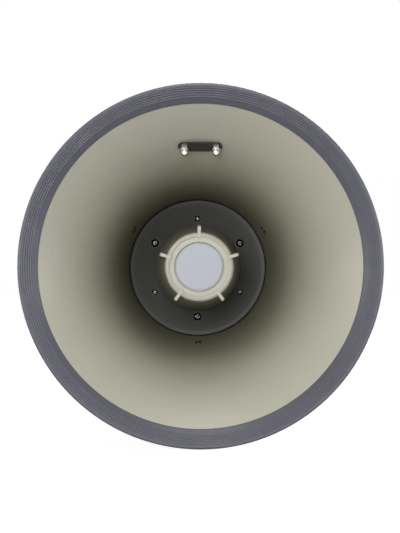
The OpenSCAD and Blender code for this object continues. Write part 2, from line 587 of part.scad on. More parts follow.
module capacitors() color(slate) horn_axis() for (i = [0 : 2]) translate([-16 + i * 14, 12, parts_s + 0.05])
    rotate_extrude($fn = 48) polygon([[0, 0], [5, 0], [5, 12.4], [4.4, 13], [0, 13]]);
deck_h = board_h + board_t + 0.05;
module panel_board() color(board_green) on_panel()
    translate([-cavity_w / 2 + 1, panel_mid_s - cavity_len / 2 + 1, board_h])
    cube([cavity_w - 2, cavity_len - 2, board_t]);
pot_h = panel_h - panel_wall - 0.2 - deck_h;
module volume_pot() color(bright_steel) on_panel() difference() {
    union() {
        translate([-8, knob_s - 7, deck_h]) cube([16, 14, pot_h]);
        translate([0, knob_s, deck_h + 1]) cylinder(h = pot_h + panel_wall - 0.8, r = bushing_r, $fn = 48);
    }
    translate([0, knob_s, deck_h + 2]) cylinder(h = 40, r = pot_shaft_r - 0.4, $fn = 48);
}
module pot_shaft() color(bright_steel) on_panel() translate([0, knob_s, deck_h + 2.2])
    cylinder(h = panel_h + knob_h - 4 - deck_h - 2.2, r = pot_shaft_r - 0.5, $fn = 48);
knob_base_h = panel_h + 0.4;
module volume_knob() color(black_steel) on_panel() translate([0, knob_s, knob_base_h]) difference() {
    rotate_extrude($fn = smooth) polygon([[pot_shaft_r - 0.4, 0], [knob_r, 0], [knob_r, 2],
        [knob_r - 0.8, 2.6], [knob_r - 1.4, knob_h - 1.2], [knob_r - 2.4, knob_h], [0, knob_h],
        [0, knob_h - 4], [pot_shaft_r - 0.4, knob_h - 4]]);
    for (i = [0 : 17]) rotate([0, 0, i * 20]) translate([knob_r - 0.4, 0, 3.4])
        cylinder(h = knob_h, r = 0.8, $fn = 24);
    translate([-0.6, 4, knob_h - 0.6]) cube([1.2, knob_r, 2]);
}
button_rise = 3;
switch_top_h = panel_h - panel_wall - 1.6 - button_travel - 0.4;
module siren_switch() color(black_steel) on_panel() translate([key_x - 5, keys_s - 5, deck_h])
    cube([10, 10, switch_top_h - deck_h]);
ceiling_h = panel_h - panel_wall;
module siren_button() color([0.62, 0.13, 0.11]) on_panel() translate([key_x, keys_s, 0])
    rotate_extrude($fn = 64) polygon([[0, ceiling_h - 1.6], [button_r + 1.1, ceiling_h - 1.6],
        [button_r + 1.1, ceiling_h - 0.1], [button_r, ceiling_h - 0.1],
        [button_r, panel_h + button_rise - 0.9], [button_r - 0.8, panel_h + button_rise - 0.1],
        [button_r - 2.6, panel_h + button_rise], [0, panel_h + button_rise - 0.4]]);
case_top_h = panel_h - panel_wall - 0.4;
module mode_switch_case() color(bright_steel) on_panel() difference() {
    translate([-key_x - 4, keys_s - 8.5, deck_h]) cube([8, 17, case_top_h - deck_h]);
    translate([-key_x - stem_w / 2 - 0.3, keys_s - slot_len / 2, deck_h + 1.5])
        cube([stem_w + 0.6, slot_len, 20]);
}
module mode_slider() color(black_steel) on_panel() translate([-key_x, keys_s, 0]) {
    translate([-stem_w / 2, -stem_w / 2, deck_h + 1.8]) cube([stem_w, stem_w, panel_h - deck_h]);
    translate([0, 0, panel_h + 0.3]) linear_extrude(1.4) rounded(cap_w, cap_len, 1.2);
    for (i = [-1 : 1]) translate([-cap_w / 2 + 1, i * 2.2 - 0.6, panel_h + 1.2]) cube([cap_w - 2, 1.2, 1.8]);
}

// Battery holder with six cells in a ring
cell_angles = [for (i = [0 : cell_count - 1]) i * 360 / cell_count];
holder_front_s = holder_s + holder_plate_t;
holder_back_s = holder_s + holder_len - holder_plate_t;
tab_t = 0.5;
cell_front_s = holder_front_s + tab_t + fit;
module battery_holder() color(black_steel) difference() {
    union() {
        revolved([[0, holder_s], [holder_r, holder_s], [holder_r, holder_front_s], [7, holder_front_s],
            [7, holder_back_s], [holder_r, holder_back_s], [holder_r, holder_s + holder_len],
            [0, holder_s + holder_len]]);
        for (deg = cell_angles) horn_axis() seen_at(deg + 30) translate([6, -1.5, holder_s])
            cube([cell_ring_r - 14, 3, holder_len]);
    }
    for (deg = cell_angles) axial_rod(deg, cell_ring_r, cell_front_s - 0.05, holder_back_s, cell_r + 0.2);
    for (deg = cell_angles) axial_rod(deg + 30, holder_r - 5, holder_s - 1, holder_s + holder_len + 1, 3);
    axial_rod(0, 0, holder_s - 1, holder_s + holder_len + 1, 3);
}
module battery(index) color(index % 2 == 0 ? bright_steel : brass_tint)
    horn_axis() seen_at(cell_angles[index]) translate([cell_ring_r, 0, cell_front_s])
    rotate_extrude($fn = 64) polygon([[0, 0], [3.2, 0], [3.2, 1.5], [cell_r - 0.8, 1.5], [cell_r, 2.3],
        [cell_r, cell_len - 0.6], [cell_r - 0.6, cell_len], [0, cell_len]]);
module battery_1() battery(0);
module battery_2() battery(1);
module battery_3() battery(2);
module battery_4() battery(3);
module battery_5() battery(4);
module battery_6() battery(5);
spring_wire_r = 0.5;
module battery_contacts() color(bright_steel) for (deg = cell_angles) {
    axial_rod(deg, cell_ring_r, holder_front_s + 0.05, holder_front_s + tab_t, 5);
    axial_rod(deg, cell_ring_r, holder_back_s - 0.45, holder_back_s - 0.05, 7);
    horn_axis() seen_at(deg) translate([cell_ring_r, 0, 0]) for (i = [0 : 3])
        translate([0, 0, holder_back_s - 0.7 - i * 0.72]) rotate_extrude($fn = 64)
        translate([6.2 - i * 0.6, 0]) circle(spring_wire_r, $fn = 24);
}

// Rear cover, hinged at the top of the barrel, with the microphone, its grille and the soft mouth guard
back_wall_s = cover_end_s - 3;
grille_seat_s = cover_end_s - 1.6;
capsule_r = 6;
tab_w = 18;
module rear_cover() color(charcoal) difference() {
    union() {
        revolved([[body_r, cover_s], [body_r, cover_s + 20], [body_r - 1.5, cover_s + 30],
            [body_r - 5, cover_s + 38], [body_r - 7, cover_end_s], [grille_r + fit, cover_end_s],
            [grille_r + fit, grille_seat_s], [capsule_r + fit, grille_seat_s],
            [capsule_r + fit, back_wall_s - 8], [capsule_r + 2.5, back_wall_s - 8],
            [capsule_r + 2.5, back_wall_s], [body_r - 9, back_wall_s], [body_r - 7.6, cover_s + 36],
            [body_r - 4.4, cover_s + 28], [body_r - body_wall, cover_s + 20], [body_r - body_wall, cover_s]]);
        on_panel() translate([-4.7, cover_s, body_r - 2]) cube([9.4, 10, hinge_h - body_r + 2]);
        hinge_knuckle(-4.7, 4.7, knuckle_r);
        intersection() {
            revolved([[body_r + loose, cover_s - 9], [body_r + 2.4, cover_s - 9], [body_r + 3, cover_s - 6],
                [body_r + 3, cover_s + 4], [body_r - 1, cover_s + 8], [body_r - 1, cover_s + 0.2],
                [body_r + loose, cover_s + 0.2]]);
            translate([-tab_w / 2, 0, 0]) cube([tab_w, 300, axis_z]);
        }
    }
    hinge_knuckle(-20, 20, hinge_pin_r + fit);
    for (side = [-1, 1]) hinge_knuckle(side * 9.5 - 4.8, side * 9.5 + 4.8, knuckle_r + 0.8);
}
module hinge_pin() color(bright_steel) hinge_knuckle(-14.4, 14.4, hinge_pin_r);
module mic_capsule() color(bright_steel) revolved([[0, back_wall_s - 7], [capsule_r, back_wall_s - 7],
    [capsule_r, grille_seat_s - 0.2], [0, grille_seat_s - 0.2]]);
module mic_grille() color(black_steel) difference() {
    revolved([[0, grille_seat_s + 0.05], [grille_r, grille_seat_s + 0.05], [grille_r, cover_end_s + 0.4],
        [grille_r - 0.8, cover_end_s + 1], [0, cover_end_s + 1.4]]);
    axial_rod(0, 0, grille_seat_s - 1, cover_end_s + 3, 1);
    for (ring = [1 : 3], i = [0 : 6 * ring - 1])
        axial_rod(i * 60 / ring, ring * 3.6, grille_seat_s - 1, cover_end_s + 3, 1);
}
mouth_guard_r = body_r - lip_inset;
module mouth_guard() color(slate) revolved([[body_r - 1.6, cover_s + 31], [body_r - 4.9, cover_s + 38.1],
    [body_r - 6.9, cover_end_s + fit], [body_r - 11.2, cover_end_s + fit], [body_r - 11.8, cover_end_s + 0.8],
    [mouth_guard_r - 6, cover_end_s + lip_len * 0.55], [mouth_guard_r - 2.7, cover_end_s + lip_len - 1.4],
    [mouth_guard_r - 1.2, cover_end_s + lip_len], [mouth_guard_r, cover_end_s + lip_len - 1.2],
    [mouth_guard_r - 0.3, cover_end_s + lip_len - 5], [mouth_guard_r - 2.2, cover_end_s + lip_len * 0.45],
    [mouth_guard_r - 1, cover_end_s + 3], [body_r - 2.2, cover_end_s - 3.6],
    [body_r + 0.5, cover_s + 31.6], [body_r + 0.1, cover_s + 30.2]]);

// The grip: two moulded halves round the trigger and its switch, clamped on the barrel's tongue
grip_wall = 2.8;
grip_mid_w = 16.5;
grip_mid_len = 21;
function foot_flare(z) = exp(-(z - pad_t) / 9);
function saddle_flare(z) = exp((z - grip_top_z - 10) / 12);
function grip_half_len(z) = grip_mid_len + (foot_half_len - grip_mid_len) * foot_flare(z)
    + 8 * saddle_flare(z);
function grip_half_w(z) = grip_mid_w + (foot_half_w - grip_mid_w) * foot_flare(z) + 4 * saddle_flare(z);
function grip_mid_y(z) = 4 * (z - pad_t) / grip_top_z;
function sgn_pow(v, e) = sign(v) * pow(abs(v), e);
function grip_ring(z, inset, count) = [for (i = [0 : count - 1]) let (a = (i + 0.5) * 360 / count)
    [(grip_half_w(z) - inset) * sgn_pow(cos(a), 0.78),
        grip_mid_y(z) + (grip_half_len(z) - inset) * sgn_pow(sin(a), 0.78), z]];
module lofted(levels, inset, count) {
    last = len(levels) - 1;
    polyhedron(points = [for (z = levels) each grip_ring(z, inset, count)], faces = concat(
        [[for (i = [0 : count - 1]) i]],
        [for (j = [0 : last - 1], i = [0 : count - 1])
            [j * count + i, (j + 1) * count + i, (j + 1) * count + (i + 1) % count]],
        [for (j = [0 : last - 1], i = [0 : count - 1])
            [j * count + i, (j + 1) * count + (i + 1) % count, j * count + (i + 1) % count]],
        [[for (i = [count - 1 : -1 : 0]) last * count + i]]));
}
// The waist lies between the foot's flare and the saddle under the barrel
waist_z0 = pad_t + 20;
waist_z1 = grip_top_z - 14;
function waist(shares) = [for (k = shares) waist_z0 + k * (waist_z1 - waist_z0)];
outer_levels = concat([for (h = [0.1, 2, 4.5, 8, 13, 20]) pad_t + h], waist([0.2, 0.48, 0.76, 1]),
    [for (h = [5, -2, -12]) grip_top_z - h]);
inner_levels = concat([for (h = [3, 5, 9, 16]) pad_t + h], waist([0.2, 0.72]),
    [for (h = [8, -2, -13]) grip_top_z - h]);
grip_screw_r = 1.6;
mount_screw_r = 1.6;
trigger_h = 26;
trigger_z1 = grip_top_z - 18;
trigger_z0 = trigger_z1 - trigger_h;
lower_room = trigger_z0 - pad_t;
grip_screw_places = [[15, grip_top_z - 26], [12, pad_t + 0.8 * lower_room], [-7, pad_t + 0.55 * lower_room]];
trigger_front_y = -29;
trigger_travel = 4.5;
flange_y = -11.4;
flange_t_y = 2.2;
spring_z = trigger_z1 - 6;
spring_r = 3.6;
stop_y = 3;
switch_z = trigger_z0 + 6;
module grip_half(side) difference() {
    union() {
        difference() {
            lofted(outer_levels, 0, 48);
            lofted(inner_levels, grip_wall, 32);
            translate([-trigger_w / 2 - loose, -60, trigger_z0 - loose])
                cube([trigger_w + 2 * loose, 60, trigger_z1 - trigger_z0 + 2 * loose]);
        }
        for (p = grip_screw_places) cross_rod(p[0], p[1], side > 0 ? 0 : -14, side > 0 ? 14 : 0, 4);
        for (y = mount_ys) cross_rod(y, mount_z, side > 0 ? tongue_t / 2 + fit : -17,
            side > 0 ? 17 : -tongue_t / 2 - fit, 4.4);
        translate([side > 0 ? 0 : -16, stop_y, spring_z - 5]) cube([16, 2.5, 10]);
    }
    translate([side > 0 ? -50 : -0.05, -60, -1]) cube([50.05, 120, axis_z]);
    translate([0, -100, axis_z]) rotate([-90, 0, 0]) cylinder(h = 200, r = body_r + fit, $fn = smooth);
    for (p = grip_screw_places) cross_rod(p[0], p[1], -30, 30, grip_screw_r + fit);
    for (y = mount_ys) cross_rod(y, mount_z, -30, 30, mount_screw_r + fit);
    if (side < 0) {
        for (p = grip_screw_places) cross_rod(p[0], p[1], -40, -13, 3.3);
        for (y = mount_ys) cross_rod(y, mount_z, -40, -14.6, 3.3);
    }
}
module grip_left() color(charcoal) grip_half(1);
module grip_right() color(charcoal) {
    grip_half(-1);
    for (y = [4, 10]) cross_rod(y, switch_z, -15, 3, 1.1);
}
module side_screw(y, z, head_x, len) translate([head_x, y, z]) rotate([0, 90, 0])
    pan_screw(2.9, grip_screw_r, len);
module grip_screws() color(black_steel) for (p = grip_screw_places) side_screw(p[0], p[1], -13.1, 22);
module grip_mount_screws() color(black_steel) for (y = mount_ys) side_screw(y, mount_z, -14.7, 26);

module trigger() color([0.62, 0.13, 0.11]) difference() {
    union() {
        translate([-trigger_w / 2, trigger_front_y, trigger_z0])
            cube([trigger_w, flange_y + 0.5 - trigger_front_y, trigger_z1 - trigger_z0]);
        translate([-9.5, flange_y, trigger_z0 - 1.6]) cube([19, flange_t_y, trigger_z1 - trigger_z0 + 3.2]);
        translate([0, flange_y, spring_z]) rotate([-90, 0, 0]) cylinder(h = 6, r = 2.4, $fn = 48);
    }
    cross_rod(trigger_front_y - 21, (trigger_z0 + trigger_z1) / 2, -20, 20, 25);
}
module trigger_spring() color(bright_steel) translate([0, 0, spring_z]) rotate([-90, 0, 0]) for (i = [0 : 11])
    translate([0, 0, flange_y + flange_t_y + 0.75 + i * (stop_y - flange_y - flange_t_y - 1.5) / 11])
    rotate_extrude($fn = 48) translate([spring_r, 0]) circle(0.62, $fn = 24);
module trigger_switch() color(black_steel) difference() {
    union() {
        translate([-3, 1, switch_z - 5]) cube([6, 12, 10]);
        translate([0, -3.8, switch_z + 1.5]) rotate([-90, 0, 0]) cylinder(h = 6, r = 1.4, $fn = 32);
    }
    for (y = [4, 10]) cross_rod(y, switch_z, -10, 10, 1.2);
}
module foot_pad() color(slate) difference() {
    linear_extrude(pad_t) rounded(2 * foot_half_w - 3, 2 * foot_half_len - 3, 20);
    for (i = [-3 : 2]) translate([-foot_half_w + 7, i * 8 + 3, -1]) cube([2 * foot_half_w - 14, 2, 2]);
}

bell();
rim_guard();
bullet();
badge_disc();
tone_arm();
throat_dish();
dish_screws();
clamp_screws();
bell_screws();
strap_plate();
strap_bracket();
strap_bolts();
cap_nuts();
front_strap_ring();
driver_plate();
diaphragm();
voice_coil();
top_plate();
magnet();
yoke();
driver_cover();
neck_housing();
barrel();
barrel_screws();
amplifier_board();
transformer();
heat_sink();
capacitors();
panel_board();
volume_pot();
pot_shaft();
volume_knob();
siren_switch();
siren_button();
mode_switch_case();
mode_slider();
rear_strap_ring();
battery_holder();
battery_1();
battery_2();
battery_3();
battery_4();
battery_5();
battery_6();
battery_contacts();
rear_cover();
hinge_pin();
mic_capsule();
mic_grille();
mouth_guard();
grip_left();
grip_right();
grip_screws();
grip_mount_screws();
trigger();
trigger_spring();
trigger_switch();
foot_pad();
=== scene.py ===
import bpy
import bmesh
import math
from mathutils import Vector, Matrix


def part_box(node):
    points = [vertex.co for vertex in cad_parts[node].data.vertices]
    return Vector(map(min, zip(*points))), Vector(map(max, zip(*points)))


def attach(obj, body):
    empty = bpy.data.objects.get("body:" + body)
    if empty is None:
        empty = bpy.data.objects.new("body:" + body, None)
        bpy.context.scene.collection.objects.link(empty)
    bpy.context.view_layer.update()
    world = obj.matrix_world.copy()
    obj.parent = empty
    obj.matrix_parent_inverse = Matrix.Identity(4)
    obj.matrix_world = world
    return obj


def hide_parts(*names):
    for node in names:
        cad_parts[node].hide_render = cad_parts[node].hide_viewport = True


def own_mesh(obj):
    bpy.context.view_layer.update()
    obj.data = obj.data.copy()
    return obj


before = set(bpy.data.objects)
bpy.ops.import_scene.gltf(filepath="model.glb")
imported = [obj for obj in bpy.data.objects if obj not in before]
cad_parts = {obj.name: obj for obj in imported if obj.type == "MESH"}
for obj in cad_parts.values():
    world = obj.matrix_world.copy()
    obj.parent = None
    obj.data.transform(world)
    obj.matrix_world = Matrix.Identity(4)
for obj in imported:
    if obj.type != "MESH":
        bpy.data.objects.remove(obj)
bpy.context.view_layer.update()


# The bell: one cream ABS moulding, the flare and its neck in a single wall 3 mm thick.
# Satin from the polished mould, with a slow ripple where it cooled and a few specks of dust.
# Inside, its colour darkens with depth: this stands for shade in the throat that the lamps leave out.
def linear(rgb):
    scaled = [v / 255 for v in rgb]
    return tuple(c / 12.92 if c <= 0.04045 else ((c + 0.055) / 1.055) ** 2.4 for c in scaled) + (1.0,)


def toned(rgb, share):
    return [max(0, min(255, c * (1 + share))) for c in rgb]


def noise(nt, scale, detail=3.0, rough=0.5, stretch=(1, 1, 1)):
    coords = nt.nodes.new("ShaderNodeTexCoord")
    place = nt.nodes.new("ShaderNodeMapping")
    place.inputs["Scale"].default_value = stretch
    nt.links.new(coords.outputs["Object"], place.inputs["Vector"])
    tex = nt.nodes.new("ShaderNodeTexNoise")
    tex.inputs["Scale"].default_value = scale
    tex.inputs["Detail"].default_value = detail
    tex.inputs["Roughness"].default_value = rough
    nt.links.new(place.outputs["Vector"], tex.inputs["Vector"])
    return tex.outputs["Fac"]


def ramp(nt, value, low, high, to_low, to_high):
    node = nt.nodes.new("ShaderNodeMapRange")
    node.inputs["From Min"].default_value = low
    node.inputs["From Max"].default_value = high
    node.inputs["To Min"].default_value = to_low
    node.inputs["To Max"].default_value = to_high
    nt.links.new(value, node.inputs["Value"])
    return node.outputs["Result"]


def combined(nt, operation, first, second):
    node = nt.nodes.new("ShaderNodeMath")
    node.operation = operation
    for socket, value in zip(node.inputs, (first, second)):
        if isinstance(value, float):
            socket.default_value = value
        else:
            nt.links.new(value, socket)
    return node.outputs["Value"]


def agreement(nt, first, second):
    node = nt.nodes.new("ShaderNodeVectorMath")
    node.operation = "DOT_PRODUCT"
    nt.links.new(first, node.inputs[0])
    nt.links.new(second, node.inputs[1])
    return node.outputs["Value"]


def tint(nt, factor, under, over):
    node = nt.nodes.new("ShaderNodeMix")
    node.data_type = "RGBA"
    nt.links.new(factor, node.inputs["Factor"])
    for socket, colour in (("A", under), ("B", over)):
        if isinstance(colour, (list, tuple)):
            node.inputs[socket].default_value = linear(colour)
        else:
            nt.links.new(colour, node.inputs[socket])
    return node.outputs["Result"]


def relief(nt, height, depth, below=None):
    node = nt.nodes.new("ShaderNodeBump")
    node.inputs["Strength"].default_value = 1.0
    node.inputs["Distance"].default_value = depth
    nt.links.new(height, node.inputs["Height"])
    if below is not None:
        nt.links.new(below, node.inputs["Normal"])
    return node.outputs["Normal"]


def deeper(nt, stops):
    green_fall, blue_fall = 1.04, 1.25
    coords = nt.nodes.new("ShaderNodeTexCoord")
    parts = nt.nodes.new("ShaderNodeSeparateXYZ")
    nt.links.new(coords.outputs["Object"], parts.inputs["Vector"])
    start, end = stops[0][0], stops[-1][0]
    steps = nt.nodes.new("ShaderNodeValToRGB")
    steps.color_ramp.interpolation = "B_SPLINE"
    while len(steps.color_ramp.elements) < len(stops):
        steps.color_ramp.elements.new(0.5)
    for element, (y, share) in zip(steps.color_ramp.elements, stops):
        element.position = (y - start) / (end - start)
        element.color = (share, share ** green_fall, share ** blue_fall, 1)
    nt.links.new(ramp(nt, parts.outputs["Y"], start, end, 0.0, 1.0), steps.inputs["Fac"])
    return steps.outputs["Color"]


axis_z = 0.14


def from_axis(nt):
    coords = nt.nodes.new("ShaderNodeTexCoord")
    flat = nt.nodes.new("ShaderNodeVectorMath")
    flat.operation = "MULTIPLY_ADD"
    nt.links.new(coords.outputs["Object"], flat.inputs[0])
    flat.inputs[1].default_value = (1, 0, 1)
    flat.inputs[2].default_value = (0, 0, -axis_z)
    return flat.outputs["Vector"]


def radius(nt):
    length = nt.nodes.new("ShaderNodeVectorMath")
    length.operation = "LENGTH"
    nt.links.new(from_axis(nt), length.inputs[0])
    return length.outputs["Value"]


def faces_axis(nt):
    outward = nt.nodes.new("ShaderNodeVectorMath")
    outward.operation = "NORMALIZE"
    nt.links.new(from_axis(nt), outward.inputs[0])
    skin = nt.nodes.new("ShaderNodeNewGeometry")
    facing = agreement(nt, outward.outputs["Vector"], skin.outputs["Normal"])
    blend = 0.05
    return ramp(nt, facing, -blend, blend, 1.0, 0.0)


def edge_mask(nt, width):
    rounded = nt.nodes.new("ShaderNodeBevel")
    rounded.samples = 4
    rounded.inputs["Radius"].default_value = width
    flat = nt.nodes.new("ShaderNodeNewGeometry")
    turn = agreement(nt, rounded.outputs["Normal"], flat.outputs["Normal"])
    flat_face, sharp_edge = 0.99, 0.80
    return ramp(nt, turn, flat_face, sharp_edge, 0.0, 1.0)


def shader(name, rough, metal=0.0, gloss=0.5):
    mat = bpy.data.materials.new(name)
    mat.use_nodes = True
    bsdf = mat.node_tree.nodes["Principled BSDF"]
    bsdf.inputs["Metallic"].default_value = metal
    bsdf.inputs["Roughness"].default_value = rough
    bsdf.inputs["Specular IOR Level"].default_value = gloss
    return mat, mat.node_tree, bsdf


def moulded(name, rgb, rough, grain=900, grain_depth=0.00003, ripple=0.00008, mottle=0.025, dust=0.0,
            pale_edge_share=0.0, gloss=0.5, shade=None, inside=False):
    mat, nt, bsdf = shader(name, rough, gloss=gloss)
    broad = noise(nt, 26, 5, 0.6)
    colour = tint(nt, broad, toned(rgb, -mottle), toned(rgb, mottle))
    if shade:
        shaded = nt.nodes.new("ShaderNodeMix")
        shaded.data_type = "RGBA"
        shaded.blend_type = "MULTIPLY"
        shaded.inputs["Factor"].default_value = 1.0
        if inside:
            nt.links.new(faces_axis(nt), shaded.inputs["Factor"])
        nt.links.new(colour, shaded.inputs["A"])
        nt.links.new(deeper(nt, shade), shaded.inputs["B"])
        colour = shaded.outputs["Result"]
    if dust:
        specks = ramp(nt, noise(nt, 650, 6, 0.7), 0.56, 0.76, 0.0, dust)
        dust_rgb = [c * 0.45 + 110 for c in rgb]
        colour = tint(nt, specks, colour, dust_rgb)
    if pale_edge_share:
        patches = ramp(nt, noise(nt, 140, 6, 0.65), 0.42, 0.6, 0.0, pale_edge_share)
        edge_width = 0.0007
        pale_edges = combined(nt, "MULTIPLY", edge_mask(nt, edge_width), patches)
        pale_edge_rgb = [c * 0.8 + 62 for c in rgb]
        colour = tint(nt, pale_edges, colour, pale_edge_rgb)
    nt.links.new(colour, bsdf.inputs["Base Color"])
    polish = ramp(nt, noise(nt, 60, 6, 0.6), 0.3, 0.7, rough - 0.06, rough + 0.06)
    nt.links.new(polish, bsdf.inputs["Roughness"])
    skin = relief(nt, noise(nt, 70, 2, 0.4), ripple)
    nt.links.new(relief(nt, noise(nt, grain, 3, 0.55), grain_depth, skin), bsdf.inputs["Normal"])
    return mat


def dress(node, mat):
    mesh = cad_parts[node].data
    mesh.materials.clear()
    mesh.materials.append(mat)


cream = (190, 188, 172)
throat_shade = [(-0.235, 1.0), (-0.205, 0.86), (-0.185, 0.76), (-0.165, 0.64), (-0.12, 0.46)]
dress("bell", moulded("bell_cream_abs", cream, 0.46, ripple=0.00004, mottle=0.012, dust=0.12,
                      shade=throat_shade, inside=True))

# The rim guard: a channel of soft slate-blue vinyl, pressed over the bell's edge, with fine ribs in front.
# Its skin is satin, with a pale bloom and scuffs from handling, and its colour is lighter towards the outer
# edge.
slate = (84, 84, 95)


def vinyl(name, rgb, rough, lighter_from=None):
    mat, nt, bsdf = shader(name, rough, gloss=0.45)
    bloom = ramp(nt, noise(nt, 45, 7, 0.7), 0.45, 0.75, 0.0, 0.35)
    colour = tint(nt, bloom, rgb, toned(rgb, 0.16))
    scuffs = ramp(nt, noise(nt, 240, 6, 0.7, (1, 0.25, 1)), 0.60, 0.72, 0.0, 0.35)
    colour = tint(nt, scuffs, colour, toned(rgb, 0.45))
    if lighter_from:
        lighter_width, lighter_share = 0.004, 0.35
        rim = ramp(nt, radius(nt), lighter_from, lighter_from + lighter_width, 0.0, lighter_share)
        colour = tint(nt, rim, colour, toned(rgb, 0.3))
    nt.links.new(colour, bsdf.inputs["Base Color"])
    polish = ramp(nt, noise(nt, 90, 5, 0.6), 0.3, 0.7, rough - 0.08, rough + 0.08)
    nt.links.new(polish, bsdf.inputs["Roughness"])
    soft = relief(nt, noise(nt, 55, 3, 0.5), 0.0002)
    nt.links.new(relief(nt, noise(nt, 1500, 3, 0.6), 0.00004, soft), bsdf.inputs["Normal"])
    return mat


lighter_edge_radius = 0.1345
dress("rim_guard", vinyl("guard_vinyl", slate, 0.46, lighter_from=lighter_edge_radius))

# The bullet: a cream cup with a raised ring and five fins, in which the sound turns back on its way out.
# It is the same plastic as the bell, a little glossier, round a plain lavender-grey disc.
# Its skirt's colour darkens with depth, painted shade as in the bell's throat.
skirt_shade = [(-0.178, 1.0), (-0.17, 0.9), (-0.15, 0.62), (-0.12, 0.36), (-0.095, 0.24)]
dress("bullet", moulded("bullet_cream_abs", (208, 206, 192), 0.34, ripple=0.00005, mottle=0.01, dust=0.05,
                        shade=skirt_shade))


def printed_card(name, rgb):
    mat, nt, bsdf = shader(name, 0.42)
    colour = tint(nt, noise(nt, 35, 4, 0.5), toned(rgb, -0.012), toned(rgb, 0.012))
    nt.links.new(colour, bsdf.inputs["Base Color"])
    nt.links.new(relief(nt, noise(nt, 1900, 2, 0.5), 0.00001), bsdf.inputs["Normal"])
    return mat


dress("badge_disc", printed_card("disc_lavender", (206, 209, 222)))

# The tone arm: a cream moulded tube that carries the sound forward from the driver into the bullet.
# The bullet's fins hold its front end, and its flange sits behind the dish.
dress("tone_arm", moulded("tone_arm_cream_abs", (188, 184, 168), 0.45))

# The throat dish: a dark grey moulding at the end of the neck, shallow, with a dull sheen.
# The black line round its edge is painted shade, standing for the narrow gap where it meets the bell.
mat = moulded("dish_grey_abs", (74, 75, 69), 0.48, grain=1400, ripple=0.00003, mottle=0.03, dust=0.05)
nt = mat.node_tree
bsdf = nt.nodes["Principled BSDF"]
dished = bsdf.inputs["Base Color"].links[0].from_socket
# Painted shade: the outermost band of the dish turns black and dull, for the dark gap at its edge.
gap_shade_start, gap_shade_full = 0.0582, 0.0589
gap_shade = ramp(nt, radius(nt), gap_shade_start, gap_shade_full, 0.0, 1.0)
gap_shade_black = (6, 6, 6)
nt.links.new(tint(nt, gap_shade, dished, gap_shade_black), bsdf.inputs["Base Color"])
polish = bsdf.inputs["Roughness"].links[0].from_socket
nt.links.new(combined(nt, "MAXIMUM", polish, gap_shade), bsdf.inputs["Roughness"])
dress("throat_dish", mat)


# The screws: black zinc pan heads in the dish, the bell and the housings, with a cross recess each.
# The edges of each recess are painted pale: painted glints on the black heads.
def plated(name, rgb, rough, pale_edge_rgb=None, pale_edge_share=0.0, streak=(1, 1, 1), depth=0.00001, metal=1.0):
    mat, nt, bsdf = shader(name, rough, metal=metal)
    broad = noise(nt, 160, 5, 0.6)
    colour = tint(nt, broad, toned(rgb, -0.08), toned(rgb, 0.06))
    if pale_edge_share:
        patches = ramp(nt, noise(nt, 500, 5, 0.6), 0.38, 0.6, 0.0, pale_edge_share)
        edge_width = 0.0003
        pale_edges = combined(nt, "MULTIPLY", edge_mask(nt, edge_width), patches)
        colour = tint(nt, pale_edges, colour, pale_edge_rgb)
    nt.links.new(colour, bsdf.inputs["Base Color"])
    lines = noise(nt, 700, 5, 0.6, streak)
    polish = ramp(nt, lines, 0.3, 0.7, max(0.03, rough - 0.06), rough + 0.1)
    nt.links.new(polish, bsdf.inputs["Roughness"])
    nt.links.new(relief(nt, lines, depth), bsdf.inputs["Normal"])
    return mat


# Painted glints: the pale colour on the edges of each recess stands for light caught there.
for screws in ("dish_screws", "clamp_screws", "barrel_screws", "grip_screws", "grip_mount_screws"):
    dress(screws, plated(screws + "_black_zinc", (26, 26, 26), 0.22,
                         pale_edge_rgb=(205, 203, 198), pale_edge_share=0.9, metal=0.85))
# The bell's screws are greyer, with brighter painted glints at their recess edges.
dress("bell_screws", plated("bell_screws_black_zinc", (70, 69, 62), 0.3,
                            pale_edge_rgb=(225, 223, 216), pale_edge_share=1.0, metal=0.7))

# The strap fixing: a black painted plate inside the bell, clamped by two chromed cap nuts.
# Their bolts pass through the bell from a zinc-plated bracket outside, which carries a wire ring.
# A second wire ring hangs from a lug under the barrel.
mat, nt, bsdf = shader("plate_black_paint", 0.4)
chipped = ramp(nt, noise(nt, 380, 7, 0.7), 0.66, 0.72, 0.0, 0.8)
nt.links.new(tint(nt, chipped, (40, 39, 31), (120, 116, 106)), bsdf.inputs["Base Color"])
nt.links.new(relief(nt, noise(nt, 1300, 3, 0.5), 0.00002), bsdf.inputs["Normal"])
dress("strap_plate", mat)
dress("cap_nuts", plated("nut_chrome", (222, 219, 214), 0.09))
dress("strap_bolts", plated("bolt_zinc", (205, 203, 198), 0.2))
dress("strap_bracket", plated("bracket_zinc", (172, 171, 165), 0.3,
                              pale_edge_rgb=(214, 212, 208), pale_edge_share=0.6, streak=(1, 6, 1)))
for ring in ("front_strap_ring", "rear_strap_ring"):
    dress(ring, plated(ring + "_zinc", (180, 178, 171), 0.24, streak=(6, 1, 1)))

# The body: neck housing, barrel and rear cover, dark grey ABS with a fine spark-eroded skin.
# Handling has left pale rubs along the edges. A plain cap of darker plastic covers the driver inside.
charcoal = (62, 63, 60)
for shell in ("neck_housing", "barrel", "rear_cover"):
    dress(shell, moulded(shell + "_charcoal_abs", charcoal, 0.5, grain=1100, grain_depth=0.00012,
                         ripple=0.0001, mottle=0.03, dust=0.06, pale_edge_share=0.55))
dress("driver_cover", moulded("driver_cover_abs", (44, 45, 44), 0.5, grain=1100, grain_depth=0.0001))

# The mouth guard: a funnel of the rim guard's soft vinyl, pressed over the end of the rear cover.
# The user speaks into it, so it is a little duller than the rim guard.
dress("mouth_guard", vinyl("mouth_guard_vinyl", slate, 0.52))

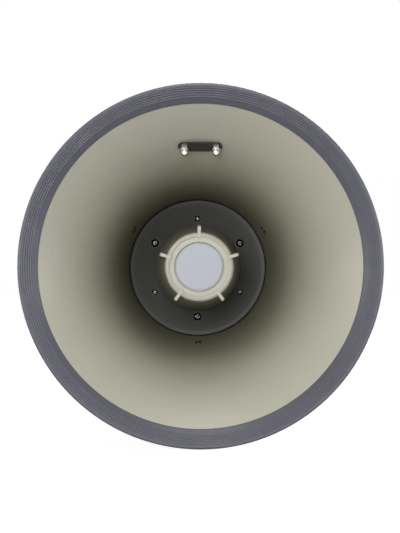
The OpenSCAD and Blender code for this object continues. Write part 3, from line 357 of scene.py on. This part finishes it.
# The grip: two charcoal halves, screwed together from the side and to a tongue under the barrel.
# Their foot stands on a black rubber sole with cross grooves.
for half in ("grip_left", "grip_right"):
    dress(half, moulded(half + "_charcoal_abs", charcoal, 0.48, grain_depth=0.00014, ripple=0.0001,
                        mottle=0.03, dust=0.05, pale_edge_share=0.6))
dress("foot_pad", moulded("foot_rubber", (38, 38, 40), 0.72, grain=1300, grain_depth=0.0001,
                          dust=0.18, gloss=0.3))

# The controls: a black fluted volume knob, a red siren button and a black slide switch on the panel.
# The trigger in the front of the grip is red like the button. All are ABS, glossier than the housings.
for control in ("volume_knob", "mode_slider"):
    dress(control, moulded(control + "_black_abs", (30, 30, 31), 0.38, grain=1500, pale_edge_share=0.6))
for control in ("siren_button", "trigger"):
    dress(control, moulded(control + "_red_abs", (156, 32, 27), 0.33, grain=1300, pale_edge_share=0.35))

# The microphone: a small aluminium capsule in a pocket at the middle of the rear cover.
# A pierced disc of blackened metal sits in a seat over it.
dress("mic_grille", plated("grille_black", (34, 34, 34), 0.35,
                           pale_edge_rgb=(120, 119, 116), pale_edge_share=0.5, metal=0.6))
dress("mic_capsule", plated("capsule_aluminium", (176, 177, 178), 0.3))

# The driver behind the dish: zinc-plated steel plates round a ferrite ring, the motor of the horn.
# A film diaphragm in front carries a copper voice coil in the gap between the plates.
for part in ("driver_plate", "top_plate", "yoke"):
    dress(part, plated(part + "_zinc", (168, 168, 158), 0.3))
dress("magnet", moulded("magnet_ferrite", (46, 45, 45), 0.62, grain=700, grain_depth=0.00006))
dress("diaphragm", moulded("diaphragm_film", (178, 166, 140), 0.3, grain=400, grain_depth=0.00002))
dress("voice_coil", plated("coil_copper", (186, 112, 66), 0.32, streak=(1, 9, 1)))

# The amplifier: a green board with a transformer, a finned heat sink and sleeved capacitors.
# A second board under the panel carries the volume pot and two switches, and a third switch sits in the grip.
for board in ("amplifier_board", "panel_board"):
    dress(board, moulded(board + "_resin", (28, 82, 50), 0.34, grain=300, mottle=0.06))
dress("transformer", moulded("core_varnish", (64, 55, 44), 0.42, grain=600, grain_depth=0.00006))
dress("heat_sink", plated("sink_aluminium", (190, 190, 188), 0.38, streak=(1, 1, 8)))
dress("capacitors", moulded("can_sleeve", (38, 46, 84), 0.28))
for part in ("volume_pot", "pot_shaft", "mode_switch_case"):
    dress(part, plated(part + "_zinc", (176, 174, 166), 0.28))
for part in ("siren_switch", "trigger_switch"):
    dress(part, moulded(part + "_black_nylon", (32, 32, 33), 0.45))

# The batteries: six C cells in a ring, in a black moulded holder that slides into the barrel.
# Each cell has a sprung nickel contact at one end and a flat one at the other.
dress("battery_holder", moulded("holder_black_abs", (34, 34, 35), 0.5, grain=1200, grain_depth=0.00008))
dress("battery_contacts", plated("contact_nickel", (200, 197, 186), 0.22))
for i in range(6):
    dress("battery_%d" % (i + 1), plated("cell_%d_sleeve" % (i + 1), (74, 78, 86), 0.3, metal=0.5))

# The hinge pin: a plain steel pin through the knuckles at the top of the barrel's end.
# The rear cover swings up on it, to let the cells in.
dress("hinge_pin", plated("hinge_pin_steel", (186, 185, 180), 0.2, streak=(6, 1, 1)))

# The trigger spring: a steel compression spring of eleven turns, between the trigger's flange and its stop.
# The real spring shortens towards the stop as the trigger is squeezed; the coil here is built once, at its
# rest length.
spring_low, spring_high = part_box("trigger_spring")
wire_r = 0.00062
turns = 11
steps_per_turn = 24
spring_z = (spring_low[2] + spring_high[2]) / 2
coil_r = (spring_high[0] - spring_low[0]) / 2 - wire_r
pitch = (spring_high[1] - spring_low[1] - 2 * wire_r) / turns
spring_bm = bmesh.new()
bmesh.ops.create_circle(spring_bm, cap_ends=True, radius=wire_r, segments=12,
                        matrix=Matrix.Translation((coil_r, spring_low[1] + wire_r, spring_z)))
bmesh.ops.spin(spring_bm, geom=spring_bm.verts[:] + spring_bm.edges[:] + spring_bm.faces[:],
               cent=(0, 0, spring_z), axis=(0, 1, 0), dvec=(0, pitch / steps_per_turn, 0),
               angle=2 * math.pi * turns, steps=turns * steps_per_turn, use_duplicate=False)
bmesh.ops.holes_fill(spring_bm, edges=[e for e in spring_bm.edges if e.is_boundary], sides=0)
bmesh.ops.recalc_face_normals(spring_bm, faces=spring_bm.faces[:])
for face in spring_bm.faces:
    face.smooth = len(face.verts) == 4
spring_mesh = bpy.data.meshes.new("trigger_spring_coil")
spring_bm.to_mesh(spring_mesh)
spring_bm.free()
spring = bpy.data.objects.new("trigger_spring_coil", spring_mesh)
bpy.context.scene.collection.objects.link(spring)
spring_mesh.materials.append(plated("spring_steel", (170, 170, 166), 0.25))
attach(spring, "body")
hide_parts("trigger_spring")
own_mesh(spring)


# The floor: a wide plain sheet, just below the foot, which keeps the soft shadow of the grip and the rim.
# Its own glow makes it white, a little less near the object, where the lamps light it too.
def seen_or_mirrored(nt):
    rays = nt.nodes.new("ShaderNodeLightPath")
    seen = rays.outputs["Is Camera Ray"]
    for kind in ("Is Glossy Ray", "Is Transmission Ray"):
        seen = combined(nt, "MAXIMUM", seen, rays.outputs[kind])
    return seen


floor_mesh = bpy.data.meshes.new("floor")
floor_bm = bmesh.new()
floor_half = 9.0
bmesh.ops.create_grid(floor_bm, x_segments=1, y_segments=1, size=floor_half)
floor_bm.to_mesh(floor_mesh)
floor_bm.free()
floor = bpy.data.objects.new("floor", floor_mesh)
bpy.context.scene.collection.objects.link(floor)
floor_drop = 0.0002
floor.location = (0, 0, -floor_drop)
floor_mat, nt, bsdf = shader("floor_white", 0.9, gloss=0.0)
bsdf.inputs["Base Color"].default_value = (0.5, 0.5, 0.5, 1)
spread = nt.nodes.new("ShaderNodeVectorMath")
spread.operation = "LENGTH"
floor_place = nt.nodes.new("ShaderNodeTexCoord")
nt.links.new(floor_place.outputs["Object"], spread.inputs[0])
near, far, near_white = 0.25, 1.3, 0.88
to_white = ramp(nt, spread.outputs["Value"], near, far, near_white, 1.0)
bsdf.inputs["Emission Color"].default_value = (1, 1, 1, 1)
nt.links.new(combined(nt, "MULTIPLY", seen_or_mirrored(nt), to_white), bsdf.inputs["Emission Strength"])
floor_mesh.materials.append(floor_mat)

# The room: white behind the object and in its mirrored surfaces.
# As a source of light it is nearly dark, so that the soft boxes shape the shades.
world = bpy.data.worlds.new("studio")
bpy.context.scene.world = world
world.use_nodes = True
nt = world.node_tree
nt.nodes.clear()
world_out = nt.nodes.new("ShaderNodeOutputWorld")
room = nt.nodes.new("ShaderNodeBackground")
room.inputs["Color"].default_value = (1, 1, 1, 1)
nt.links.new(room.outputs["Background"], world_out.inputs["Surface"])
room_light = 0.02
nt.links.new(combined(nt, "MAXIMUM", seen_or_mirrored(nt), room_light), room.inputs["Strength"])


# The lamps: soft boxes in front, at both sides, above and behind, all turned towards the mouth.
# Their balance is set by the photo's shades from the front, and keeps the outside lit from the other views.
def soft_box(name, place, target, size, power):
    data = bpy.data.lights.new(name, "AREA")
    data.shape = "RECTANGLE"
    data.size, data.size_y = size
    data.energy = power
    lamp = bpy.data.objects.new(name, data)
    bpy.context.scene.collection.objects.link(lamp)
    lamp.location = place
    lamp.rotation_euler = (Vector(target) - Vector(place)).to_track_quat("-Z", "Y").to_euler()


mouth = (0, -0.2, axis_z)
soft_box("front_box", (-0.4, -2.55, 0.5), mouth, (1.1, 1.1), 30.5)
soft_box("left_box", (-2.1, -0.75, 0.1), mouth, (1.0, 1.0), 20)
soft_box("right_box", (2.1, -0.75, 0.1), mouth, (1.0, 1.0), 22)
soft_box("top_box", (0, -0.7, 2.2), mouth, (1.0, 1.0), 17)
soft_box("rear_box", (0.5, 2.2, 1.3), mouth, (1.2, 1.0), 26)

# The camera: a long lens that looks almost straight into the mouth.
# It stands a little left of the horn's axis and a little below it, as in the photo.
rim_centre = Vector((0, -0.268, axis_z))
camera_distance = 1.2
look = Vector((0.0162, 1.0, 0.0081)).normalized()
camera_data = bpy.data.cameras.new("camera")
camera_data.lens = 106.5
camera_data.sensor_width = 36
photo_height = 533
camera_data.shift_x = -1 / photo_height
camera_data.shift_y = -0.5 / photo_height
camera = bpy.data.objects.new("camera", camera_data)
bpy.context.scene.collection.objects.link(camera)
camera.location = rim_centre - camera_distance * look
camera.rotation_euler = look.to_track_quat("-Z", "Y").to_euler()
bpy.context.scene.camera = camera
bpy.context.scene.view_settings.view_transform = "Standard"
